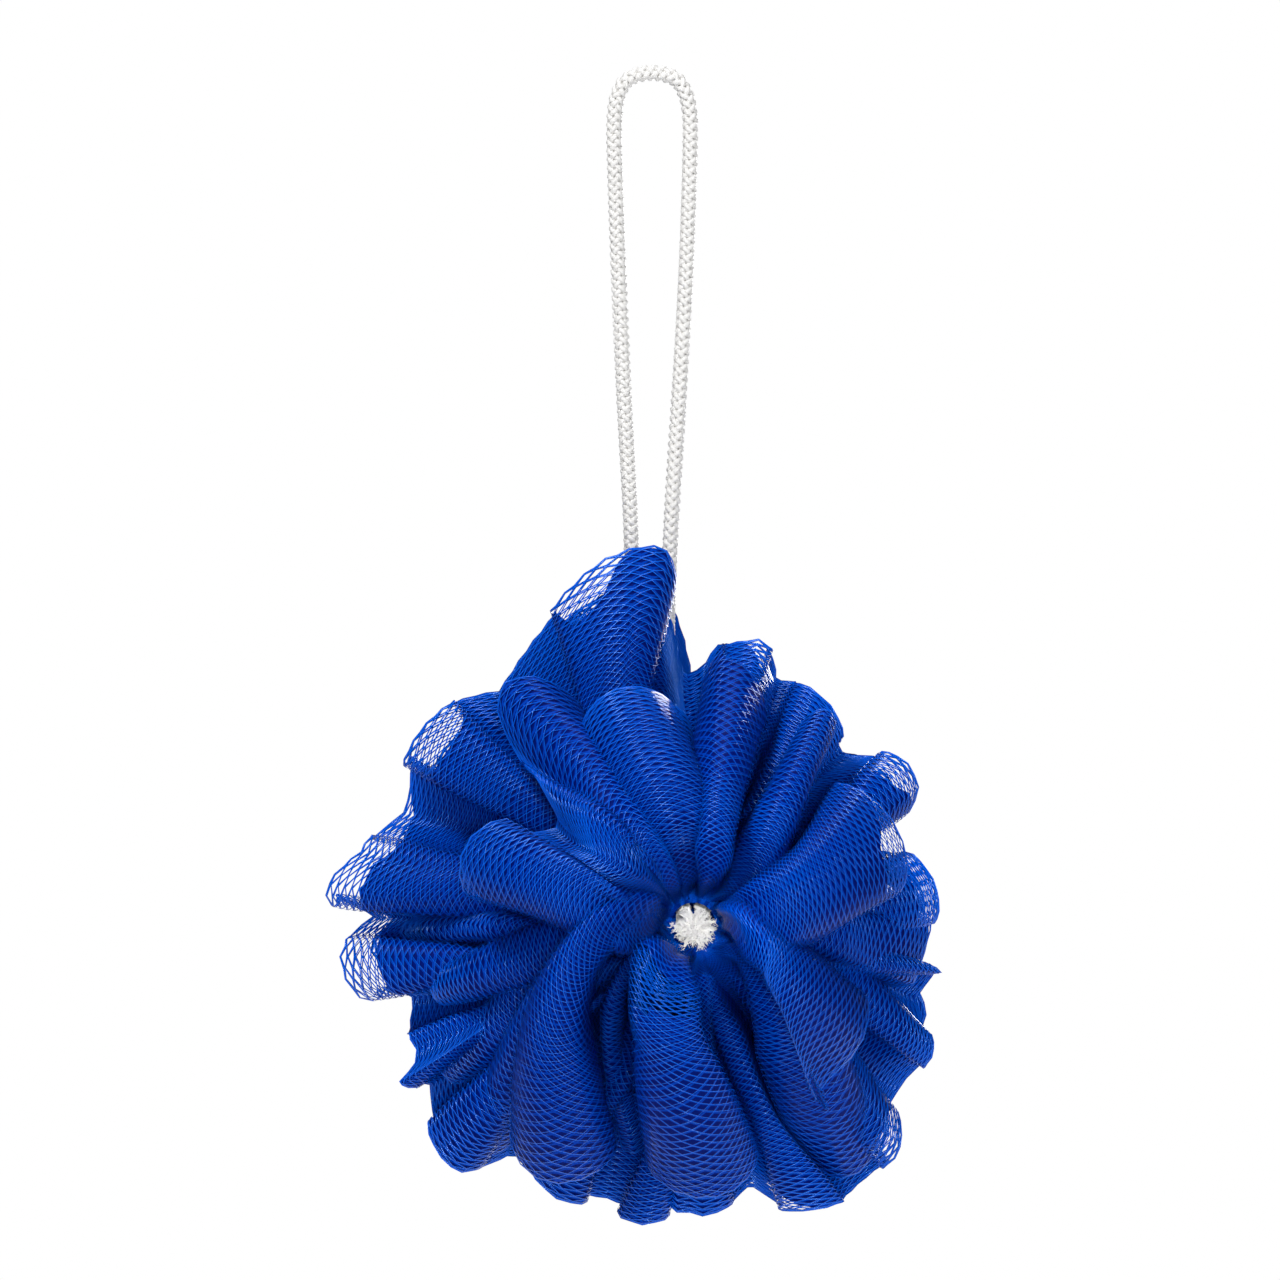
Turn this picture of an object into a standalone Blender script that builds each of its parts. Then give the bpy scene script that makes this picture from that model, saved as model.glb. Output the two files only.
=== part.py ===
"""Mesh bath pouf: one gathered strip of tube netting on a braided hanging cord.

Metres, +Z up. The origin is inside the crown of the hanging loop, where a hook carries the pouf, and the
knot faces -Y. The netting is a single strip. Its inner edge winds round the cord from the front of the ball
to the back, and the rest stands out in folds, so the folds lie in turns, one behind the other.
"""
import math

import bmesh
import bpy
import numpy as np
from mathutils import Vector

NAME = "mesh_bath_pouf"

# Netting: its wall, the length of the gathers along the core, how the folds turn and open from their roots
# outwards, and how far the net strays from an even fold
BALL_RADIUS = 0.0615
WALL = 0.0007
GATHER_LENGTH = 0.044
GATHERED_SHARE = 0.45
SWEEP_POWER = 1.3
ROOT_SHARE = 0.18
ROOT_EASE = 1.1
BULGE_SHARE = 0.4
STRAY = 0.0012
STRAY_WAVES = (2.7, 5.0, 1.9, 4.0)
OVERHANG_SHARE = 0.4
RIDGE_BEND = 0.42
VALLEY_BEND = 0.52
FRONT_LIMIT = 0.98

# Cord
CORD_DIAMETER = 0.0035
CORD_CLEARANCE = 0.0006
CORD_SIDES_RESOLUTION = 2
CORD_SPACING = 2.0

# Room that the netting leaves beside the cord, and over what width it gives way
CORD_ROOM = 0.0117
CORD_EASE = 0.0053

# Knot
KNOT_WIDTH = 0.0080
KNOT_DEPTH = 0.0066
KNOT_LUMPS = 0.14
KNOT_LUMP_WAVES = 13
SEAT_GAP = 0.0003

# Clearance between the knot and the netting about it, and over what depth the netting gives way
KNOT_CLEARANCE = 0.0010
KNOT_EASE = 0.0013

# The core, about which the netting is gathered, as seen from the front
CORE_X = 0.0084
CORE_Z = -0.1720

# Front turn. Each row is a ridge and the valley after it, anticlockwise as seen from the front. The ridge has
# its azimuth at the rim and how far it has turned at its root, in degrees; its reach and the depths of its rim
# and crest, in ball radii; how soon it rises; how far its top overhangs, as a share of its width; and its bulge
# and lean, in metres. The valley has its azimuth, its reach and the depths of its rim and crest.
FRONT_START = (-99, -45, 0.60, 0.00, -0.08)
FRONT_FOLDS = [
    (-84, -50, 0.88, -0.42, -0.86, 0.06, 1.2, 0.0085, -0.002, -72, 0.62, 0.04, -0.06),
    (-62, 46, 1.00, -0.10, -0.60, 0.28, 1.2, 0.0055, 0.004, -52, 0.80, 0.06, -0.04),
    (-38, 88, 0.66, -0.50, -0.90, 0.12, 1.2, 0.0072, -0.003, -18, 0.50, 0.02, -0.08),
    (-2, 30, 0.84, -0.10, -0.42, 0.40, 1.2, 0.0045, -0.003, 12, 0.58, 0.06, -0.04),
    (40, -8, 0.72, -0.46, -0.82, 0.26, 1.2, 0.0075, -0.007, 53, 0.58, 0.04, -0.06),
    (61, -14, 0.84, -0.26, -0.62, 0.36, 1.2, 0.0030, -0.003, 69, 0.60, 0.06, -0.04),
    (79, -4, 0.95, -0.12, -0.74, 0.28, 1.2, 0.0050, 0.001, 89, 0.56, 0.06, -0.02),
    (96, 0, 0.72, -0.16, -0.34, 0.40, 1.0, 0.0015, 0.000, 99, 0.56, 0.04, -0.04),
    (108, -14, 0.80, -0.52, -0.68, 0.34, 1.2, 0.0060, 0.000, 120, 0.58, 0.02, -0.08),
    (131, -14, 0.99, -0.34, -0.76, 0.24, 1.2, 0.0030, -0.003, 141, 0.56, -0.64, -0.78),
    (158, -10, 0.80, -0.62, -0.82, 0.24, 1.2, 0.0055, 0.004, 170, 0.64, 0.04, -0.06),
    (180, -24, 0.98, -0.10, -0.38, 0.42, 1.2, 0.0020, 0.003, 185, 0.84, 0.04, -0.06),
    (192, -32, 0.90, -0.20, -0.50, 0.40, 1.2, 0.0030, 0.003, 198, 0.80, 0.06, -0.04),
    (207, -50, 1.00, -0.08, -0.36, 0.42, 1.2, 0.0040, 0.004, 216, 0.84, 0.06, -0.04),
    (223, -68, 1.06, -0.12, -0.56, 0.38, 1.2, 0.0040, 0.003, 230, 0.74, 0.04, -0.06),
    (238, -112, 0.95, -0.38, -0.88, 0.24, 1.2, 0.0070, -0.002, 250, 0.56, 0.02, -0.08),
    (255, -80, 0.80, -0.08, -0.36, 0.38, 1.0, 0.0015, 0.000, 259, 0.60, 0.02, -0.08),
]

# Second turn, whose ridges are the lobes of the outline. Each row is a ridge and the valley after it: the
# ridge's azimuth, root turn and share of the outline's reach, and the valley's azimuth and share.
RIM_FOLDS = [
    (271, 10, 1.00, 281, 0.97),
    (294, -12, 1.00, 304, 0.98),
    (312, 0, 1.00, 322, 0.97),
    (331, 14, 1.00, 342, 0.97),
    (348, 0, 1.00, 354, 0.97),
    (366, -10, 1.00, 385, 0.98),
    (395, 0, 1.00, 407, 0.98),
    (418, 0, 1.00, 430, 0.98),
    (438, 8, 1.00, 450, 0.98),
    (459, 30, 1.00, 489, 0.98),
    (503, 0, 1.00, 519, 0.98),
    (530, -8, 1.00, 540, 0.98),
    (547, 10, 1.00, 556, 0.98),
    (567, 0, 1.00, 573, 0.98),
    (583, -12, 1.00, 592, 0.97),
    (604, 0, 1.00, 612, 0.97),
    (621, 8, 1.00, 629, 0.97),
]
RIM_RIDGE_DEPTHS = (-0.16, -0.30)
RIM_VALLEY_DEPTHS = (0.00, -0.04)
RIM_OVERHANG = 1.2
RIM_BULGE = 0.0012

# Turns behind the cord: number of folds, depths of rim and crest of the forward and backward bends, in ball
# radii, and how far they reach, as a share of the outline
BACK_TURNS = [
    (13, (0.06, 0.06), (0.26, 0.34), 0.97, 0.95),
    (10, (0.34, 0.42), (0.38, 0.82), 0.90, 0.86),
]
BACK_OVERHANG = 1.4
BACK_SEED = 7
BACK_STRAY = {"azimuth": 0.14, "reach": 0.06, "depth": 0.03, "turn": 15}

# Reach of the outline by azimuth, in ball radii, hand-read from the photo
OUTLINE = [
    (2, 0.82), (8, 0.81), (14, 0.77), (19, 0.68), (25, 0.57), (28, 0.76), (33, 0.87), (37, 0.88), (42, 0.84),
    (47, 0.76), (52, 0.79), (58, 0.84), (64, 0.87), (70, 0.86), (73, 0.94), (78, 0.97), (85, 0.93), (87, 0.86),
    (91, 0.83), (94, 1.10), (96, 1.24), (99, 1.24), (104, 1.22), (110, 1.17), (117, 1.11), (124, 1.06),
    (130, 1.02), (136, 1.09), (144, 1.10), (151, 1.10), (157, 1.06), (160, 1.05), (164, 1.11), (168, 1.12),
    (173, 1.21), (177, 1.19), (180, 1.08), (183, 1.15), (186, 1.17), (190, 1.14), (193, 1.04), (196, 0.99),
    (202, 1.03), (206, 1.02), (208, 1.13), (211, 1.05), (214, 1.08), (221, 1.13), (226, 1.14), (230, 1.02),
    (237, 0.97), (244, 1.00), (252, 1.01), (260, 1.00), (268, 0.97), (277, 0.95), (281, 0.93), (286, 1.00),
    (292, 1.02), (299, 1.06), (306, 1.05), (312, 1.01), (317, 0.92), (331, 0.91), (338, 0.87), (342, 0.81),
    (347, 0.87), (353, 0.78), (357, 0.79),
]

# Rows of the grid from the gathers to the rim
ROWS = (0.0, 0.08, 0.2, 0.42, 0.66, 0.87, 1.0)

# Columns of the grid over one fold, from a hidden bend at 0 past the bend that shows at 1 to the next hidden
# one at 2, for each turn
TURN_COLUMNS = [
    (0.12, 0.5, 0.72, 0.89, 1.11, 1.28, 1.5, 1.88),
    (0.14, 0.55, 0.8, 1.0, 1.2, 1.45, 1.86),
    (0.16, 0.5, 0.84, 1.16, 1.5, 1.84),
    (0.14, 0.5, 0.68, 0.86, 1.14, 1.32, 1.5, 1.86),
]

# Route of the cord from the knot, up through the netting, round the loop and back to the knot
CORD_ROUTE = [
    (0.0065, -0.0236, -0.1720),
    (0.0065, -0.0170, -0.1720),
    (0.0065, -0.0100, -0.1720),
    (0.0065, -0.0035, -0.1711),
    (0.0063, -0.0009, -0.1685),
    (0.0056, 0.0000, -0.1645),
    (0.0036, 0.0000, -0.1570),
    (0.0006, 0.0000, -0.1450),
    (-0.0020, 0.0000, -0.1325),
    (-0.0038, 0.0000, -0.1200),
    (-0.0041, 0.0000, -0.1070),
    (-0.0044, 0.0000, -0.0900),
    (-0.0057, 0.0000, -0.0654),
    (-0.0069, 0.0000, -0.0380),
    (-0.0077, 0.0000, -0.0140),
    (-0.0076, 0.0000, -0.0064),
    (-0.0067, 0.0000, -0.0022),
    (-0.0046, 0.0000, 0.0006),
    (0.0000, 0.0000, 0.0017),
    (0.0046, 0.0000, 0.0006),
    (0.0067, 0.0000, -0.0022),
    (0.0077, 0.0000, -0.0064),
    (0.0078, 0.0000, -0.0140),
    (0.0070, 0.0000, -0.0380),
    (0.0055, 0.0000, -0.0654),
    (0.0040, 0.0000, -0.0900),
    (0.0033, 0.0000, -0.1070),
    (0.0034, 0.0000, -0.1200),
    (0.0052, 0.0000, -0.1325),
    (0.0074, 0.0000, -0.1450),
    (0.0092, 0.0000, -0.1570),
    (0.0101, 0.0000, -0.1645),
    (0.0103, -0.0009, -0.1685),
    (0.0103, -0.0035, -0.1711),
    (0.0103, -0.0100, -0.1720),
    (0.0103, -0.0170, -0.1720),
    (0.0103, -0.0236, -0.1720),
]

# Colours, linear
NETTING_BLUE = (0.004, 0.045, 0.42, 1.0)
CORD_WHITE = (0.86, 0.86, 0.85, 1.0)


def new_material(name, colour, roughness):
    material = bpy.data.materials.new(name)
    material.use_nodes = True
    shader = material.node_tree.nodes["Principled BSDF"]
    shader.inputs["Base Color"].default_value = colour
    shader.inputs["Roughness"].default_value = roughness
    shader.inputs["Metallic"].default_value = 0.0
    return material


def add_object(name, data, collection, material):
    item = bpy.data.objects.new(name, data)
    collection.objects.link(item)
    item.data.materials.append(material)
    return item


def outline_reach(azimuth):
    places, reaches = zip(*OUTLINE)
    return np.interp(azimuth % 360, places, reaches, period=360)


def eased(share):
    return share * share * (3 - 2 * share)


def strip_bends():
    """Bends in order: azimuth, root turn, reach, depths of rim and crest, bend place, overhang, bulge, lean."""
    bends = [(*FRONT_START, VALLEY_BEND, 1.0, 0.0, 0.0)]
    for fold in FRONT_FOLDS:
        valley, *shape = fold[9:]
        bends.append(fold[:9])
        bends.append((valley, None, *shape, VALLEY_BEND, 1.0, 0.0, 0.0))
    for ridge, sweep, reach, valley, valley_reach in RIM_FOLDS:
        bends.append((ridge, sweep, reach, *RIM_RIDGE_DEPTHS, RIDGE_BEND, RIM_OVERHANG, RIM_BULGE, 0.0))
        bends.append((valley, None, valley_reach, *RIM_VALLEY_DEPTHS, VALLEY_BEND, 1.0, 0.0, 0.0))
    random = np.random.default_rng(BACK_SEED)
    start = RIM_FOLDS[-1][3]
    for folds, forward, backward, forward_share, backward_share in BACK_TURNS:
        step = 360 / folds
        for fold in range(folds):
            for half, depths, share in ((0.5, forward, forward_share), (1.0, backward, backward_share)):
                azimuth = start + (fold + half + BACK_STRAY["azimuth"] * random.uniform(-1, 1)) * step
                reach = share * (1 - BACK_STRAY["reach"] * random.uniform(0, 1))
                rim, crest = depths + BACK_STRAY["depth"] * random.uniform(-1, 1, 2)
                sweep = BACK_STRAY["turn"] * random.uniform(-1, 1)
                bends.append((azimuth, sweep, reach, rim, crest, RIDGE_BEND, BACK_OVERHANG, 0.0, 0.0))
        start += 360
    for place, bend in enumerate(bends):
        if bend[1] is None:
            before, after = bends[place - 1][1], bends[place + 1][1]
            sweep = min(before, after, key=abs) if before * after > 0 else (before + after) / 2
            bends[place] = (bend[0], sweep, *bend[2:])
    return np.array(bends, float)


def gather_radius():
    return CORD_DIAMETER + CORD_CLEARANCE + WALL / 2


def clear_of_cord(places, front):
    margin = CORD_DIAMETER / 2 + 2 * CORD_CLEARANCE + WALL / 2
    route = np.array(CORD_ROUTE)
    middle = ((route + route[::-1]) / 2)[: len(route) // 2]
    centre = np.interp(places[:, 2], middle[:, 2], middle[:, 0])
    weight = eased(np.clip((CORD_ROOM - np.abs(places[:, 0] - centre)) / CORD_EASE, 0, 1))
    weight *= places[:, 2] > CORE_Z - gather_radius()
    side = np.where(front, -1.0, 1.0)
    short = np.clip(margin - places[:, 1] * side, 0, None)
    places[:, 1] += side * short * weight
    return places


def least_radius(depth):
    """How near the core the net may come: up to the gathers, and clear of the knot in front of them."""
    reach = KNOT_DEPTH * (1 + KNOT_LUMPS) / 2
    middle = CORD_ROUTE[0][1] - SEAT_GAP - reach
    room = (KNOT_WIDTH * (1 + KNOT_LUMPS) + WALL) / 2 + KNOT_CLEARANCE
    beside = eased(np.clip((reach + 2 * KNOT_CLEARANCE - np.abs(depth - middle)) / KNOT_EASE, 0, 1))
    return gather_radius() + (room - gather_radius()) * beside


def strip_points(bends, u, v):
    """Places on the strip. u counts bends along it, and v runs from the gathers at 0 to the rim at 1."""
    first = np.clip(np.floor(u).astype(int), 0, len(bends) - 2)
    part = u - first
    share = (1 - np.cos(np.pi * part)) / 2
    overhang = bends[first, 6] * (1 - part) + bends[first + 1, 6] * part
    swing = part + overhang * np.clip(v / OVERHANG_SHARE, 0, 1) * np.sin(2 * np.pi * part) / (2 * np.pi)
    reach_share = (1 - np.cos(np.pi * np.clip(swing, 0, 1))) / 2

    def between(column, share):
        return bends[first, column] * (1 - share) + bends[first + 1, column] * share

    root = between(0, part)
    along = (root - bends[0, 0]) / (bends[-1, 0] - bends[0, 0])
    turned = between(0, swing) + between(1, share) * (1 - v) ** SWEEP_POWER
    opening = np.clip(v / ROOT_SHARE, 0, 1)
    azimuth = np.radians(turned + (root - turned) * (1 - opening) ** ROOT_EASE)
    gather_depth = GATHER_LENGTH * (along - 0.5)
    outline = outline_reach(between(0, swing))
    reach = between(2, reach_share)
    front_bends = 1 + 2 * len(FRONT_FOLDS)
    reach = np.where(u < front_bends, np.minimum(reach, FRONT_LIMIT * outline), reach * outline) * BALL_RADIUS
    rim = between(3, share) * BALL_RADIUS
    crest = between(4, share) * BALL_RADIUS
    control = 2 * crest - (gather_depth + rim) / 2
    near, middle, far = (1 - v) ** 2, 2 * v * (1 - v), v**2
    radius = near * gather_radius() + middle * between(5, share) * reach + far * reach
    depth = near * gather_depth + middle * control + far * rim
    depth = gather_depth + (depth - gather_depth) * eased(opening)
    wide = np.clip(v / BULGE_SHARE, 0, 1)
    waves = STRAY_WAVES
    sideways = between(7, part) * np.sin(2 * np.pi * part) + between(8, share)
    sideways += STRAY * np.sin(waves[0] * u + waves[1] * v)
    azimuth += sideways * eased(wide) / radius
    depth += STRAY * wide * np.sin(waves[2] * u - waves[3] * v)
    radius = np.maximum(radius, least_radius(depth))
    places = np.stack([CORE_X + radius * np.cos(azimuth), depth, CORE_Z + radius * np.sin(azimuth)], 1)
    cord_bend = front_bends + 2 * len(RIM_FOLDS)
    return clear_of_cord(places, u < cord_bend)


def strip_columns(bends):
    """u of each column of the grid. The last turn shows from behind, where its backward bends come first."""
    folds = (len(FRONT_FOLDS), len(RIM_FOLDS), BACK_TURNS[0][0], BACK_TURNS[1][0])
    columns = [0.0]
    bend = 0
    for count, places in zip(folds, TURN_COLUMNS):
        for _ in range(count):
            columns.extend(bend + place for place in places)
            bend += 2
    columns.append(bend)
    return np.array(columns)


def make_netting(collection):
    bends = strip_bends()
    columns = strip_columns(bends)
    mesh = bpy.data.meshes.new("netting")
    strip = bmesh.new()
    bmesh.ops.create_grid(strip, x_segments=len(columns) - 1, y_segments=len(ROWS) - 1, size=0.5)
    strip.verts.ensure_lookup_table()
    across = np.array([vertex.co.x + 0.5 for vertex in strip.verts])
    along = np.array([vertex.co.y + 0.5 for vertex in strip.verts])
    u = columns[np.rint(across * (len(columns) - 1)).astype(int)]
    v = np.array(ROWS)[np.rint(along * (len(ROWS) - 1)).astype(int)]
    for vertex, place in zip(strip.verts, strip_points(bends, u, v)):
        vertex.co = Vector(place)
    strip.to_mesh(mesh)
    strip.free()
    netting = add_object("mesh_ruffle", mesh, collection, new_material("netting", NETTING_BLUE, 0.45))
    mesh.shade_smooth()
    wall = netting.modifiers.new("wall", "SOLIDIFY")
    wall.thickness = WALL
    wall.offset = 0.0
    wall.thickness_vertex_group = GATHERED_SHARE
    wall.vertex_group = "open"
    open_net = netting.vertex_groups.new(name="open")
    for index, reach in enumerate(v):
        open_net.add([index], float(np.clip(reach / GATHERED_SHARE, 0, 1)), "REPLACE")
    return netting


def smooth_route(points, spacing):
    """A Catmull-Rom curve through the points, read at even spacing."""
    points = np.array(points)
    ends = np.vstack([2 * points[0] - points[1], points, 2 * points[-1] - points[-2]])
    t = np.linspace(0, 1, 24, endpoint=False)[:, None]
    fine = []
    for a, b, c, d in zip(ends, ends[1:], ends[2:], ends[3:]):
        bend, twist = a - 2.5 * b + 2 * c - d / 2, 1.5 * (b - c) + (d - a) / 2
        fine.append(b + t * (c - a) / 2 + t**2 * bend + t**3 * twist)
    fine = np.vstack([*fine, points[-1:]])
    lengths = np.concatenate([[0], np.cumsum(np.linalg.norm(np.diff(fine, axis=0), axis=1))])
    places = np.linspace(0, lengths[-1], max(2, round(lengths[-1] / spacing)) + 1)
    return np.stack([np.interp(places, lengths, fine[:, axis]) for axis in range(3)], 1)


def make_cord(collection):
    curve = bpy.data.curves.new("cord", "CURVE")
    curve.dimensions = "3D"
    curve.bevel_depth = CORD_DIAMETER / 2
    curve.bevel_resolution = CORD_SIDES_RESOLUTION
    curve.use_fill_caps = True
    route = smooth_route(CORD_ROUTE, CORD_SPACING * CORD_DIAMETER)
    spline = curve.splines.new("POLY")
    spline.points.add(len(route) - 1)
    for point, place in zip(spline.points, route):
        point.co = (*place, 1.0)
    return add_object("hanging_cord", curve, collection, new_material("cord", CORD_WHITE, 0.4))


def make_knot(collection):
    """The two ends are knotted together in front of the gathers and cut short."""
    back = CORD_ROUTE[0][1] - SEAT_GAP
    mesh = bpy.data.meshes.new("knot")
    body = bmesh.new()
    bmesh.ops.create_icosphere(body, subdivisions=3, radius=0.5)
    for vertex in body.verts:
        x, y, z = vertex.co
        waves = [math.sin(KNOT_LUMP_WAVES * along + phase) for phase, along in enumerate((x, y, z))]
        lump = 1 + KNOT_LUMPS * (waves[0] * waves[1] + waves[1] * waves[2] + waves[2] * waves[0]) / 2
        depth = min(2 * y * KNOT_DEPTH * lump, 0.0)
        vertex.co = Vector((CORE_X + x * KNOT_WIDTH * lump, back + depth, CORE_Z + z * KNOT_WIDTH * lump))
    body.to_mesh(mesh)
    body.free()
    return add_object("cord_knot", mesh, collection, new_material("knot", CORD_WHITE, 0.8))


def main():
    for item in list(bpy.data.objects):
        bpy.data.objects.remove(item)
    collection = bpy.data.collections.new(NAME)
    bpy.context.scene.collection.children.link(collection)
    make_netting(collection)
    make_cord(collection)
    make_knot(collection)


main()
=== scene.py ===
"""Looks of the mesh bath pouf: its net, braided cord and frayed knot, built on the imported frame."""

import math

import bpy
import numpy as np
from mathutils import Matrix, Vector

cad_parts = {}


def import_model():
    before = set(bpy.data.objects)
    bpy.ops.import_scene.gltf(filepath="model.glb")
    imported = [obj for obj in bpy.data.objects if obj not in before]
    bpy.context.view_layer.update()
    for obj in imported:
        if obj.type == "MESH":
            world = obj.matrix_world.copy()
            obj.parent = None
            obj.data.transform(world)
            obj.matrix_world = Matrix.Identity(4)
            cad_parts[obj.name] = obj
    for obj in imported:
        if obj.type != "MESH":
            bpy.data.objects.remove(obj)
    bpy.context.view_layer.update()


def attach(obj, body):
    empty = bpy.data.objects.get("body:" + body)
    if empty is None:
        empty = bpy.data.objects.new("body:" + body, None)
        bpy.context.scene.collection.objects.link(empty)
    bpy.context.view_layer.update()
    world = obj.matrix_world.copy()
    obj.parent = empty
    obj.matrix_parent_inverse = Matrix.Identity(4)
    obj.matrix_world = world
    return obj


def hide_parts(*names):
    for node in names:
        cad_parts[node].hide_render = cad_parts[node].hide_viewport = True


# The strip of net and the gathers, as in part.py
BALL_RADIUS = 0.0615
WALL = 0.0007
GATHER_LENGTH = 0.044
SWEEP_POWER = 1.3
ROOT_SHARE = 0.18
ROOT_EASE = 1.1
BULGE_SHARE = 0.4
STRAY = 0.0012
STRAY_WAVES = (2.7, 5.0, 1.9, 4.0)
OVERHANG_SHARE = 0.4
RIDGE_BEND = 0.42
VALLEY_BEND = 0.52
FRONT_LIMIT = 0.98
CORE_X = 0.0084
CORE_Z = -0.1720
CORD_DIAMETER = 0.0035
CORD_CLEARANCE = 0.0006
CORD_ROOM = 0.0117
CORD_EASE = 0.0053
KNOT_WIDTH = 0.0080
KNOT_DEPTH = 0.0066
KNOT_LUMPS = 0.14
SEAT_GAP = 0.0003
KNOT_CLEARANCE = 0.0010
KNOT_EASE = 0.0013

# Behind the cord the gathers close up: from what depth, over what length, and to what radius
CLOSING_DEPTH = 0.0035
CLOSING_EASE = 0.0050
CLOSED_RADIUS = 0.0004

# Folds of the front turn, as in part.py. Ridge: azimuth at rim, root turn, reach, rim depth, crest depth,
# bend place, overhang, bulge, lean. Then the valley after it: azimuth, reach, rim depth, crest depth
FRONT_START = (-99, -45, 0.60, 0.00, -0.08)
FRONT_FOLDS = [
    (-84, -50, 0.88, -0.42, -0.86, 0.06, 1.2, 0.0085, -0.002, -72, 0.62, 0.04, -0.06),
    (-62, 46, 1.00, -0.10, -0.60, 0.28, 1.2, 0.0055, 0.004, -52, 0.80, 0.06, -0.04),
    (-38, 88, 0.66, -0.50, -0.90, 0.12, 1.2, 0.0072, -0.003, -18, 0.50, 0.02, -0.08),
    (-2, 30, 0.84, -0.10, -0.42, 0.40, 1.2, 0.0045, -0.003, 12, 0.58, 0.06, -0.04),
    (40, -8, 0.72, -0.46, -0.82, 0.26, 1.2, 0.0075, -0.007, 53, 0.58, 0.04, -0.06),
    (61, -14, 0.84, -0.26, -0.62, 0.36, 1.2, 0.0030, -0.003, 69, 0.60, 0.06, -0.04),
    (79, -4, 0.95, -0.12, -0.74, 0.28, 1.2, 0.0050, 0.001, 89, 0.56, 0.06, -0.02),
    (96, 0, 0.72, -0.16, -0.34, 0.40, 1.0, 0.0015, 0.000, 99, 0.56, 0.04, -0.04),
    (108, -14, 0.80, -0.52, -0.68, 0.34, 1.2, 0.0060, 0.000, 120, 0.58, 0.02, -0.08),
    (131, -14, 0.99, -0.34, -0.76, 0.24, 1.2, 0.0030, -0.003, 141, 0.56, -0.64, -0.78),
    (158, -10, 0.80, -0.62, -0.82, 0.24, 1.2, 0.0055, 0.004, 170, 0.64, 0.04, -0.06),
    (180, -24, 0.98, -0.10, -0.38, 0.42, 1.2, 0.0020, 0.003, 185, 0.84, 0.04, -0.06),
    (192, -32, 0.90, -0.20, -0.50, 0.40, 1.2, 0.0030, 0.003, 198, 0.80, 0.06, -0.04),
    (207, -50, 1.00, -0.08, -0.36, 0.42, 1.2, 0.0040, 0.004, 216, 0.84, 0.06, -0.04),
    (223, -68, 1.06, -0.12, -0.56, 0.38, 1.2, 0.0040, 0.003, 230, 0.74, 0.04, -0.06),
    (238, -112, 0.95, -0.38, -0.88, 0.24, 1.2, 0.0070, -0.002, 250, 0.56, 0.02, -0.08),
    (255, -80, 0.80, -0.08, -0.36, 0.38, 1.0, 0.0015, 0.000, 259, 0.60, 0.02, -0.08),
]

# Folds of the second turn: ridge azimuth, root turn, share of the outline's reach, valley azimuth, its share
RIM_FOLDS = [
    (271, 10, 1.00, 281, 0.97),
    (294, -12, 1.00, 304, 0.98),
    (312, 0, 1.00, 322, 0.97),
    (331, 14, 1.00, 342, 0.97),
    (348, 0, 1.00, 354, 0.97),
    (366, -10, 1.00, 385, 0.98),
    (395, 0, 1.00, 407, 0.98),
    (418, 0, 1.00, 430, 0.98),
    (438, 8, 1.00, 450, 0.98),
    (459, 30, 1.00, 489, 0.98),
    (503, 0, 1.00, 519, 0.98),
    (530, -8, 1.00, 540, 0.98),
    (547, 10, 1.00, 556, 0.98),
    (567, 0, 1.00, 573, 0.98),
    (583, -12, 1.00, 592, 0.97),
    (604, 0, 1.00, 612, 0.97),
    (621, 8, 1.00, 629, 0.97),
]
RIM_RIDGE_DEPTHS = (-0.16, -0.30)
RIM_VALLEY_DEPTHS = (0.00, -0.04)
RIM_OVERHANG = 1.2
RIM_BULGE = 0.0012

# The two turns behind the cord: folds, forward depths, backward depths, forward and backward share of outline
BACK_TURNS = [
    (13, (0.06, 0.06), (0.26, 0.34), 0.97, 0.95),
    (10, (0.34, 0.42), (0.38, 0.82), 0.90, 0.86),
]
BACK_OVERHANG = 1.4
BACK_SEED = 7
BACK_STRAY = {"azimuth": 0.14, "reach": 0.06, "depth": 0.03, "turn": 15}

# Reach of the outline by azimuth, in ball radii, read from the photo
OUTLINE = [
    (2, 0.82), (8, 0.81), (14, 0.77), (19, 0.68), (25, 0.57), (28, 0.76), (33, 0.87), (37, 0.88),
    (42, 0.84), (47, 0.76), (52, 0.79), (58, 0.84), (64, 0.87), (70, 0.86), (73, 0.94), (78, 0.97),
    (85, 0.93), (87, 0.86), (91, 0.83), (94, 1.10), (96, 1.24), (99, 1.24), (104, 1.22), (110, 1.17),
    (117, 1.11), (124, 1.06), (130, 1.02), (136, 1.09), (144, 1.10), (151, 1.10), (157, 1.06),
    (160, 1.05), (164, 1.11), (168, 1.12), (173, 1.21), (177, 1.19), (180, 1.08), (183, 1.15),
    (186, 1.17), (190, 1.14), (193, 1.04), (196, 0.99), (202, 1.03), (206, 1.02), (208, 1.13),
    (211, 1.05), (214, 1.08), (221, 1.13), (226, 1.14), (230, 1.02), (237, 0.97), (244, 1.00),
    (252, 1.01), (260, 1.00), (268, 0.97), (277, 0.95), (281, 0.93), (286, 1.00), (292, 1.02),
    (299, 1.06), (306, 1.05), (312, 1.01), (317, 0.92), (331, 0.91), (338, 0.87), (342, 0.81),
    (347, 0.87), (353, 0.78), (357, 0.79),
]

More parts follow.
